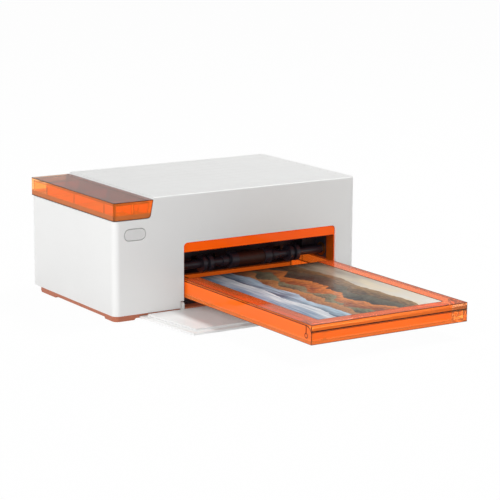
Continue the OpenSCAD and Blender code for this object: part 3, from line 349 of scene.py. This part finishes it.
# %% Zones
tray_low, tray_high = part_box("cassette_tray")
print_low, print_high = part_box("photo_print")
cover_low, cover_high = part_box("corner_cover")
bar_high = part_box("opening_lining")[1]
# which faces, the axis, where it starts and is full in metres, colour and share
TRAY_PAINTED_LIGHT = [
    # painted light: the foot of the tray's walls is painted paler
    ("walls", "Z", tray_low.z + 3.6 * MM, tray_low.z + 3.2 * MM, "#FF9A4C", 0.7),
    # painted light: the far end of the tray's walls is painted paler
    ("walls", "X", tray_high.x - 13 * MM, tray_high.x - 12 * MM, "#FFCF92", 0.95),
    # painted shade: the lid's rear rim inside the printer is painted darker
    ("tops", "Y", print_high.y + 0.2 * MM, print_high.y + 0.5 * MM, "#8A3C14", 0.4),
]
COVER_PAINTED_LIGHT = [
    # painted light: the rear of the cover's walls is painted paler
    ("walls", "Y", cover_high.y - 25 * MM, cover_high.y - 24 * MM, "#FFC07A", 0.92),
    # painted shade: the foot of the cover's walls is painted darker
    ("walls", "Z", cover_low.z + 4.0 * MM, cover_low.z + 3.4 * MM, "#A8683A", 0.35),
    # painted shade: a strip of the cover's top along its edge at larger x is painted dark
    ("tops", "X", cover_high.x - 3.4 * MM, cover_high.x - 2.8 * MM, "#7A2C04", 0.1),
]
# painted shadow: the top of the lining is painted darker, as the shadow of the shell's edge
BAR_PAINTED_SHADE = [("walls", "Z", bar_high.z - 1.8 * MM, bar_high.z - 1.2 * MM, "#6A2604", 0.1)]
print("zones:", len(TRAY_PAINTED_LIGHT) + len(COVER_PAINTED_LIGHT) + len(BAR_PAINTED_SHADE))

# %% [markdown]
# ## Clear amber plastic: three pieces
# One amber serves the tray and its lid. The corner cover is a closed box; its top is painted
# smoky, as a painted reflection, and its painted edge lines are wider. The lining lies against
# the wall behind it, so hardly any light comes through, and its sides are painted darker, as
# painted shade. One shared material can't show that, so three come from one function.

# %% The clear finishes
# orange walls, and a top painted paler, as a painted reflection, that shows the pocket
AMBER = clear_plastic("clear_amber_polycarbonate", ("#FF7820", "#FF8028"),
                      ("#E8946A", "#EEA077"), "#0C0302", 0.52, 0.9, TRAY_PAINTED_LIGHT, 0.2,
                      top_dark=0.5)
# clearer walls under a top painted smoky, as a painted reflection
AMBER_COVER = clear_plastic("clear_amber_polycarbonate_cover", ("#FF7C22", "#FF842A"),
                            ("#AA8A7E", "#B49488"), "#0C0302", 0.72, 0.86, COVER_PAINTED_LIGHT, 0.22,
                            line_mm=1.2)
# a full orange front, with painted shade on its sides
AMBER_BAR = clear_plastic("clear_amber_polycarbonate_backed", ("#FF6008", "#FF6810"),
                          ("#A04404", "#A84C0C"), "#3A1204", 0.1, 0.1, BAR_PAINTED_SHADE, 0.2,
                          axis="X")
for plastic in (AMBER, AMBER_COVER, AMBER_BAR):
    print("clear plastic:", plastic.name)

# %% [markdown]
# ## Metals
# The top deck and plates are zinc-plated sheet, the shafts ground steel, the bushes sintered
# bronze and the print head's carriage extruded aluminium. Rolling and grinding leave fine lines
# along one axis that stretch a highlight. An anisotropic shader could stretch it, but it would
# need a direction for each shaft. A noise that is long in that direction does it here, in both
# roughness and bump. Real lines are finer than 0.1 mm, so they are drawn at 0.35 mm to show.

# %% Worked metal
STAIN_MM, STAIN_SHARE = 14, 0.6
BRIGHTER, DIMMER = 0.06, 0.1


def worked_metal(name, colour, dulled, rough, stretch, line_mm=0.35):
    """Lines run along the axis that stretch holds small."""
    material, tree = new_material(name)
    lines = grain(tree, line_mm, stretch=stretch, detail=3)
    stains = spread(tree, grain(tree, STAIN_MM, detail=4), 0.0, STAIN_SHARE)
    shader = add(tree, "ShaderNodeBsdfPrincipled", {
        "Base Color": between(tree, stains, colour, dulled),
        "Metallic": 1.0,
        "Roughness": spread(tree, lines, rough - BRIGHTER, rough + DIMMER),
        "Normal": skin(tree, lines, 0.01, 0.3)})
    finish_material(tree, shader.outputs["BSDF"])
    return material


# greyish, with upright lines
PLATED_STEEL = worked_metal("zinc_plated_steel", "#C4C6C8", "#A3A5A9", 0.34, (1, 1, 0.08))
# bright, with rings round each shaft
GROUND_STEEL = worked_metal("ground_steel", "#CACBCD", "#B1B2B5", 0.2, (1, 0.1, 0.1))
# brown and grainy, with no direction
BRONZE = worked_metal("sintered_bronze", "#A9793F", "#7F5A30", 0.42, (1, 1, 1), 0.6)
# pale, with lines along its length
ALUMINIUM = worked_metal("extruded_aluminium", "#CFD1D3", "#B4B6B9", 0.3, (0.05, 1, 1))
for metal in (PLATED_STEEL, GROUND_STEEL, BRONZE, ALUMINIUM):
    print("metal:", metal.name)

# %% [markdown]
# ## Rubber, film and ceramic
# Roller rubber is ground, so it has an even nap and hardly a highlight. The dyed film and the
# glazed head are smooth. A hair or film shader could be used, but these pieces are small and
# lie in shade, so the moulded skin does with other numbers. The rubber's nap of about 0.05 mm is
# drawn at 0.25 mm to show.

# %% Rubber, film and ceramic
RUBBER = moulded_plastic("ground_rubber", "#100F10", "#2A282A", 0.72, ior=1.5, grain_mm=0.25,
                         depth_mm=0.05, edge_wear_and_light=0.2)
# browner and a little glossier, from paper that has polished it
BROWN_RUBBER = moulded_plastic("brown_ground_rubber", "#2C1710", "#5A2F20", 0.5, ior=1.5,
                               grain_mm=0.3, depth_mm=0.05, edge_wear_and_light=0.3)
# dark violet and glossy
FILM = moulded_plastic("dyed_polyester_film", "#2A1A38", "#43304F", 0.16, ior=1.6, grain_mm=3,
                       depth_mm=0.02, edge_wear_and_light=0.1)
# a cream glaze with a sharp highlight
CERAMIC = moulded_plastic("glazed_ceramic", "#D9D0B8", "#E6DFCC", 0.12, ior=1.6, grain_mm=2,
                          depth_mm=0.005, edge_wear_and_light=0.1)
for smooth in (RUBBER, BROWN_RUBBER, FILM, CERAMIC):
    print("skin:", smooth.name)

# %% [markdown]
# ## Circuit boards
# A board is glass cloth under green solder mask, with copper tracks that show through it as paler
# lines. Tracks could be cut as thin strips, but they are 0.03 mm high. A brick pattern has
# their straight runs and corners, and it is turned so that it lies in the board's plane.

# %% Circuit boards
# a brick is half of this long and a quarter high, so tracks are 1 mm apart
BRICK_MM = 4
TURNED = {"y": (math.pi / 2, 0, 0), "z": (0, 0, 0)}


def circuit_board(name, board_axis):
    """Solder mask with tracks in the plane that is square to board_axis."""
    material, tree = new_material(name)
    place = add(tree, "ShaderNodeTexCoord").outputs["Object"]
    flat = add(tree, "ShaderNodeMapping", {"Vector": place, "Rotation": TURNED[board_axis]})
    tracks = add(tree, "ShaderNodeTexBrick", {
        "Vector": flat.outputs["Vector"], "Scale": 1 / (BRICK_MM * MM), "Mortar Size": 0.03,
        "Color1": linear("#0E4A2B"), "Color2": linear("#12592F"), "Mortar": linear("#2E8550")})
    shader = add(tree, "ShaderNodeBsdfPrincipled", {
        "Base Color": tracks.outputs["Color"],
        "Roughness": spread(tree, grain(tree, 3), 0.25, 0.4),
        "Normal": skin(tree, tracks.outputs["Fac"], 0.03)})
    finish_material(tree, shader.outputs["BSDF"])
    return material


BOARD_FLAT = circuit_board("solder_masked_board", "z")
BOARD_UPRIGHT = circuit_board("solder_masked_board_upright", "y")
print("boards:", BOARD_FLAT.name, BOARD_UPRIGHT.name)

# %% [markdown]
# ## The print: its place and its hills
# The print lies on the cassette's lid. It holds a plain design of hills over a lake under an
# evening sky, which is read from the printer's left side. Hills could be modelled and rendered
# apart, but then the print would be an image. Here each hill is a band whose upper border follows
# a one-dimensional noise, and later bands lie in front.

# %% Hills
# dark colour, light colour, height of the upper border, roll of the border, rolls along the
# print, width of the texture in mm, and its scale along the print, which is longer below 1
HILLS = [
    ("#4A3626", "#A98254", 0.80, 0.05, 2.4, 2.0, 0.35),
    ("#2A231C", "#6B6450", 0.70, 0.07, 3.1, 1.0, 0.5),
    ("#8A3E16", "#E98A3C", 0.56, 0.09, 3.7, 2.6, 0.6),
    ("#2E2A20", "#8C8A6A", 0.44, 0.08, 4.3, 0.8, 0.3),
    ("#7A3A1A", "#C98A50", 0.36, 0.05, 5.1, 1.4, 0.8),
    ("#33536F", "#B9D2E4", 0.27, 0.03, 3.6, 2.2, 0.10),
    ("#6E8FAE", "#F1F4F6", 0.16, 0.03, 2.2, 1.6, 0.06),
]
BORDER_STEP = 3.7
SUNLIT_DEPTH, RIDGE_TONE, FOOT_TONE = 0.13, 0.95, 0.1
TEXTURE_SWING = 0.45


def hill_over(tree, picture, number, up, along):
    """The picture with one more hill in front. up and along go from 0 to 1 on the print."""
    dark, light, level, roll, rolls, width_mm, run = HILLS[number]
    shifted = add(tree, "ShaderNodeMath", {0: along, 1: BORDER_STEP * number}, operation="ADD")
    border = add(tree, "ShaderNodeTexNoise", {"W": shifted.outputs[0], "Scale": rolls,
                 "Detail": 5.0}, noise_dimensions="1D")
    height = spread(tree, border.outputs["Fac"], level - roll, level + roll)
    depth = add(tree, "ShaderNodeMath", {0: height, 1: up}, operation="SUBTRACT").outputs[0]
    below = add(tree, "ShaderNodeMath", {0: depth, 1: 0.0}, operation="GREATER_THAN").outputs[0]
    texture = spread(tree, grain(tree, width_mm, stretch=(1, run, 1), detail=4),
                     -TEXTURE_SWING, TEXTURE_SWING)
    sunlit = add(tree, "ShaderNodeMapRange", {
        "Value": depth, "From Max": SUNLIT_DEPTH, "To Min": RIDGE_TONE,
        "To Max": FOOT_TONE}).outputs["Result"]
    tone = add(tree, "ShaderNodeMath", {0: sunlit, 1: texture}, operation="ADD",
               use_clamp=True).outputs[0]
    return between(tree, below, picture, between(tree, tone, dark, light))


print("print, mm: %.1f by %.1f" % tuple((print_high - print_low).xy / MM))

# %% [markdown]
# ## The print: sky, painted shade and paper
# A dye-sublimation print is paper with its dyes under a clear overcoat. The overcoat could be a
# second sheet, but the shader's coat is that same thin layer. Clouds are a long noise over a sky
# that fades along the print. The end that lies inside the printer is painted darker, as painted
# shade. The picture is on the upper face only, and the paper is white on the others.

# %% The printed paper
PAPER = "#F1F0EC"
CLOUD_MM = 18
# painted shade over the end of the print inside the printer: where it starts, ends and how dark
INSIDE_SHADE_START, INSIDE_SHADE_END, INSIDE_SHADE_SHARE = 0.45, 1.0, 0.8
TOP_FACE_MM = 0.02


def layered_hills(name):
    material, tree = new_material(name)
    place = add(tree, "ShaderNodeTexCoord").outputs["Object"]
    axes = add(tree, "ShaderNodeSeparateXYZ", {"Vector": place})
    up = add(tree, "ShaderNodeMapRange", {"Value": axes.outputs["X"], "From Min": print_low.x,
             "From Max": print_high.x}).outputs["Result"]
    along = add(tree, "ShaderNodeMapRange", {"Value": axes.outputs["Y"], "From Min": print_low.y,
                "From Max": print_high.y}).outputs["Result"]
    clouds = spread(tree, grain(tree, CLOUD_MM, stretch=(2.0, 0.6, 1), detail=6), 0.0, 1.0)
    picture = between(tree, clouds, between(tree, along, "#FDFBF6", "#8D7150"), "#F3E2C4")
    for number in range(len(HILLS)):
        picture = hill_over(tree, picture, number, up, along)
    # painted shade: the picture darkens towards the end inside the printer
    inside_shade = add(tree, "ShaderNodeMapRange", {"Value": along, "From Min": INSIDE_SHADE_START,
               "From Max": INSIDE_SHADE_END, "To Max": INSIDE_SHADE_SHARE}).outputs["Result"]
    picture = between(tree, inside_shade, picture, "#1A1410")
    top_side = add(tree, "ShaderNodeMath", {0: axes.outputs["Z"],
                   1: print_high.z - TOP_FACE_MM * MM}, operation="GREATER_THAN").outputs[0]
    back = add(tree, "ShaderNodeNewGeometry").outputs["Backfacing"]
    outside = add(tree, "ShaderNodeMath", {0: 1.0, 1: back}, operation="SUBTRACT").outputs[0]
    printed = add(tree, "ShaderNodeMath", {0: top_side, 1: outside},
                  operation="MULTIPLY").outputs[0]
    shader = add(tree, "ShaderNodeBsdfPrincipled", {
        "Base Color": between(tree, printed, PAPER, picture),
        "Roughness": spread(tree, grain(tree, 5), 0.3, 0.42),
        "Coat Weight": 0.2,
        "Coat Roughness": 0.15,
        "Normal": skin(tree, grain(tree, 12), 0.01, 0.1)})
    finish_material(tree, shader.outputs["BSDF"])
    return material


PRINTED_PAPER = layered_hills("glossy_photo_print")
print("hills on the print:", len(HILLS))

# %% [markdown]
# ## Which piece has which finish
# Each solid is one plastic, metal or board, so it gets one material. That could be set beside
# each finish, but a single table shows at a glance what is made of what, and that no piece is
# left over.

# %% Finishes on the pieces
FINISHES = {
    WHITE_ABS: "upper_shell front_cover ribbon_door",
    BUTTON_ABS: "power_button",
    TERRACOTTA_PP: "base_plate feet",
    AMBER: "cassette_tray cassette_lid",
    AMBER_COVER: "corner_cover corner_cover_floor",
    AMBER_BAR: "opening_lining",
    BLACK_NYLON: "floor_frame left_side_frame right_side_frame feed_guide feed_ramp exit_guide "
                 "pickup_shaft pickup_discs ribbon_cartridge",
    ACETAL: "large_idler_gear small_idler_gear pickup_gear feed_roller_gear takeup_drive_gear",
    PLATED_STEEL: "base_screws top_deck gear_plate gear_plate_posts drive_motor head_springs "
                  "lift_plate lift_spring",
    GROUND_STEEL: "idler_axles feed_roller platen_shaft supply_hub head_pivot_rod "
                  "front_cover_pins ribbon_door_pins",
    BRONZE: "shaft_bushes motor_pinion board_spacers",
    ALUMINIUM: "head_carriage",
    RUBBER: "pinch_roller platen_sleeve",
    BROWN_RUBBER: "pickup_drum",
    FILM: "ribbon_film supply_spool takeup_spool",
    CERAMIC: "thermal_head",
    BOARD_FLAT: "main_board power_board",
    BOARD_UPRIGHT: "button_board",
    PRINTED_PAPER: "photo_print",
}
finished = set()
for material, names in FINISHES.items():
    for name in names.split():
        NODES[name].data.materials.clear()
        NODES[name].data.materials.append(material)
        finished.add(name)
print("finished:", len(finished), "left over:", sorted(set(NODES) - finished))

# %% [markdown]
# ## No red glow
# Clear amber beside a white shell would throw a strong red glow on it, far more than the thin
# real walls do, because here they scatter light at their surface. Darker walls would lessen the
# glow and lose the orange. A ray switch takes only that away: light on its way between matt
# surfaces passes these four pieces by.

# %% Clear pieces and matt light
for name in (FINISHES[AMBER] + " " + FINISHES[AMBER_COVER]).split():
    NODES[name].visible_diffuse = False
    print("matt light passes by:", name)

# %% [markdown]
# ## Floor and surroundings
# The printer stands on a pale floor in a pale room. A brighter room would make the background
# white, but it would also wash the printer out. So the floor and the room show a strength of 1,
# which is white, to rays from the camera and through clear plastic, and to reflections near the
# horizon. The floor keeps a small share of its own shading for the shadow. Matt surfaces get the
# room's lower fill light, and reflections higher up see a darker ceiling, as in a real studio,
# so that a polished top keeps its colour.

# %% Rays
SEEN = ("Is Camera Ray", "Is Glossy Ray", "Is Transmission Ray")


def any_ray(tree, *kinds):
    """1 for a ray of one of those kinds and 0 for others."""
    paths = add(tree, "ShaderNodeLightPath").outputs
    found = 0.0
    for kind in kinds:
        found = add(tree, "ShaderNodeMath", {0: found, 1: paths[kind]},
                    operation="MAXIMUM").outputs[0]
    return found


print("rays that see a white floor:", ", ".join(SEEN))

# %% Floor
FLOOR_HALF, FLOOR_DROP_MM = 12.0, 0.05
WHITE_SHARE = 0.975


def pale_floor():
    material, tree = new_material("pale_paper_floor")
    paper = add(tree, "ShaderNodeBsdfDiffuse", {"Color": linear("#F8F8F8")})
    white = add(tree, "ShaderNodeEmission", {"Color": (1, 1, 1, 1), "Strength": 1.0})
    share = add(tree, "ShaderNodeMath", {0: any_ray(tree, *SEEN), 1: WHITE_SHARE},
                operation="MULTIPLY").outputs[0]
    mixed = add(tree, "ShaderNodeMixShader", {0: share, 1: paper.outputs["BSDF"],
                2: white.outputs["Emission"]})
    finish_material(tree, mixed.outputs["Shader"])
    return material


corners = [(FLOOR_HALF * x, FLOOR_HALF * y, 0) for x, y in ((-1, -1), (1, -1), (1, 1), (-1, 1))]
floor_mesh = bpy.data.meshes.new("floor")
floor_mesh.from_pydata(corners, [], [(0, 1, 2, 3)])
floor_mesh.materials.append(pale_floor())
floor = bpy.data.objects.new("floor", floor_mesh)
floor.location.z = -FLOOR_DROP_MM * MM
bpy.context.scene.collection.objects.link(floor)
print("floor, m across:", 2 * FLOOR_HALF)

# %% Surroundings
FILL, CEILING, WHITE = 0.28, 0.3, 1.0
HORIZON, CEILING_START = 0.02, 0.25

world = bpy.data.worlds.new("studio")
world.use_nodes = True
room = world.node_tree
room.nodes.clear()
upward = add(room, "ShaderNodeTexCoord").outputs["Generated"]
steep = add(room, "ShaderNodeSeparateXYZ", {"Vector": upward}).outputs["Z"]
mirrored = add(room, "ShaderNodeMapRange", {"Value": steep, "From Min": HORIZON,
               "From Max": CEILING_START, "To Min": WHITE, "To Max": CEILING}).outputs["Result"]
unseen = add(room, "ShaderNodeMix", {"Factor": any_ray(room, "Is Glossy Ray"), 2: FILL,
             3: mirrored}, data_type="FLOAT").outputs[0]
direct = any_ray(room, "Is Camera Ray", "Is Transmission Ray")
strength = add(room, "ShaderNodeMix", {"Factor": direct, 2: unseen, 3: WHITE},
               data_type="FLOAT").outputs[0]
sky = add(room, "ShaderNodeBackground", {"Color": (1, 1, 1, 1), "Strength": strength})
add(room, "ShaderNodeOutputWorld", {"Surface": sky.outputs["Background"]})
bpy.context.scene.world = world
print("fill light:", FILL, "ceiling:", CEILING)

# %% [markdown]
# ## Lamps
# A large soft box low on the left lights the left side most and runs a highlight down the
# upright corner, and a small one above on the right lights the top and draws the shadow under
# the cassette. A sun could do for both, but its shadows are hard and its highlight small. The
# boxes' power stays low, so that the white walls keep their shades.

# %% Soft boxes
MIDDLE = Vector((0.0, 0.0, 0.04))
# name, place, width and height in metres, and watts
LAMPS = [
    ("key_box", (-1.66, -0.8, 0.68), 2.6, 1.6, 30.0),
    ("top_box", (0.85, 0.1, 1.5), 0.4, 0.4, 17.0),
]
for name, place, width, height, watts in LAMPS:
    lamp = bpy.data.lights.new(name, "AREA")
    lamp.shape, lamp.size, lamp.size_y, lamp.energy = "RECTANGLE", width, height, watts
    made = bpy.data.objects.new(name, lamp)
    made.location = place
    made.rotation_euler = (MIDDLE - Vector(place)).to_track_quat("-Z", "Y").to_euler()
    bpy.context.scene.collection.objects.link(made)
    print("lamp:", name, watts, "W")

# %% [markdown]
# ## The camera
# The camera stands in front on the left, a little above the printer, with a long lens that
# hardly tapers its box. A constraint could aim it, but it would lose the slight roll. Three
# angles and a place set it the same way each run: yaw turns it from straight ahead, pitch tips
# it down and roll tilts the frame.

# %% Camera
FOCAL_PX, FRAME_PX, SENSOR_MM = 2005.35, 500, 36.0
YAW, PITCH, ROLL = (math.radians(a) for a in (32.448, 11.634, 0.2919))
CAMERA_PLACE = (-0.7370, -1.15835, 0.3258)
NEAREST, FARTHEST = 0.01, 100

right = Vector((math.cos(YAW), -math.sin(YAW), 0))
ahead = Vector((math.sin(YAW) * math.cos(PITCH), math.cos(YAW) * math.cos(PITCH),
                -math.sin(PITCH)))
above = right.cross(ahead)
camera_x = math.cos(ROLL) * right + math.sin(ROLL) * above
camera_y = math.cos(ROLL) * above - math.sin(ROLL) * right
lens = bpy.data.cameras.new("camera")
lens.sensor_fit, lens.sensor_width = "HORIZONTAL", SENSOR_MM
lens.lens = FOCAL_PX / FRAME_PX * SENSOR_MM
lens.clip_start, lens.clip_end = NEAREST, FARTHEST
camera = bpy.data.objects.new("camera", lens)
turned = Matrix((camera_x, camera_y, -ahead)).transposed().to_4x4()
camera.matrix_world = Matrix.Translation(CAMERA_PLACE) @ turned
bpy.context.scene.collection.objects.link(camera)
bpy.context.scene.camera = camera
bpy.context.scene.view_settings.view_transform = "Standard"
print("lens, mm: %.3f" % lens.lens)

# %% [markdown]
# ## The end
# A finish must not change a size.

# %% The end
print("the end")
